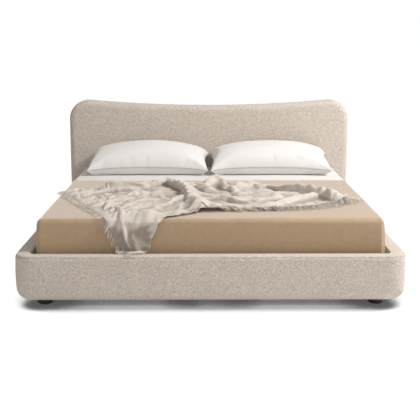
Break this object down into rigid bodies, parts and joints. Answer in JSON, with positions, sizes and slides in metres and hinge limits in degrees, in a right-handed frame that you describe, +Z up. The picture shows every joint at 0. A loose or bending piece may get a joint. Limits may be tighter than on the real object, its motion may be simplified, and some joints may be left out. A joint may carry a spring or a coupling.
{
  "type": "upholstered headboard bed",
  "caption": "Low upholstered platform bed with a softly dished headboard, slatted base on puck feet, mattress, tan coverlet, pillows and fringed throw.",
  "frame": {"origin": "on the floor, under the middle of the bed", "axes": "+Z up, +Y from the foot of the bed to the headboard, +X to the right for a viewer at the foot"},
  "size_m": [2.17, 2.275, 1.011],
  "materials": {
    "boucle": "oatmeal boucle upholstery",
    "coverlet_tan": "tan brushed cotton",
    "felt": "pressed felt",
    "foam": "polyurethane foam",
    "pillow_fill": "fibre filling in a plain shell",
    "pine": "sawn softwood",
    "plywood": "birch plywood",
    "puck": "satin black",
    "spring_unit": "pocket springs in nonwoven",
    "steel": "black powder coat",
    "throw_linen": "washed oatmeal linen",
    "ticking": "knitted mattress ticking",
    "white_cotton": "white cotton percale",
    "zinc": "zinc plated"
  },
  "bodies": {
    "bed_frame": {"base_cover": "boucle", "beam_hanger_foot": "steel", "beam_hanger_head": "steel", "bracket_bolts": "zinc", "centre_beam": "pine", "centre_leg_foot": "steel", "centre_leg_head": "steel", "centre_leg_pads": "felt", "corner_block_foot_left": "pine", "corner_block_foot_right": "pine", "corner_block_head_left": "pine", "corner_block_head_right": "pine", "corner_foam_left": "foam", "corner_foam_right": "foam", "foot_board": "plywood", "foot_foam": "foam", "foot_pads": "felt", "foot_studs": "zinc", "hanger_screws": "zinc", "headboard_back_panel": "plywood", "headboard_bottom_rail": "pine", "headboard_bracket_left": "steel", "headboard_bracket_right": "steel", "headboard_cover": "boucle", "headboard_front_foam": "foam", "headboard_front_panel": "plywood", "headboard_post_left": "pine", "headboard_post_right": "pine", "headboard_side_foam_left": "foam", "headboard_side_foam_right": "foam", "headboard_stile_left": "pine", "headboard_stile_right": "pine", "headboard_top_foam": "foam", "headboard_top_rail": "pine", "ledge_screws": "zinc", "puck_foot_left": "puck", "puck_foot_right": "puck", "puck_head_left": "puck", "puck_head_right": "puck", "side_board_left": "plywood", "side_board_right": "plywood", "side_foam_left": "foam", "side_foam_right": "foam", "slat_ledge_left": "pine", "slat_ledge_right": "pine", "slat_screws": "zinc", "slats": "pine"},
    "mattress": {"coverlet": "coverlet_tan", "fitted_sheet": "white_cotton", "mattress_base_foam": "foam", "mattress_comfort_foam": "foam", "mattress_spring_unit": "spring_unit", "mattress_ticking": "ticking"},
    "pillow_left": {"pillow_fill_left": "pillow_fill", "pillow_case_left": "white_cotton"},
    "pillow_right": {"pillow_fill_right": "pillow_fill", "pillow_case_right": "white_cotton"},
    "throw": {"throw": "throw_linen", "throw_fringe": "throw_linen"}
  },
  "joints": [
    {"name": "mattress_lift", "type": "slide", "parent": "bed_frame", "child": "mattress", "axis": [0, 0, 1], "range_m": [0, 0.4]},
    {"name": "pillow_left_lift", "type": "slide", "parent": "mattress", "child": "pillow_left", "axis": [0, 0, 1], "range_m": [0, 0.35]},
    {"name": "pillow_right_lift", "type": "slide", "parent": "mattress", "child": "pillow_right", "axis": [0, 0, 1], "range_m": [0, 0.35]},
    {"name": "throw_lift", "type": "slide", "parent": "mattress", "child": "throw", "axis": [0, 0, 1], "range_m": [0, 0.35]}
  ]
}
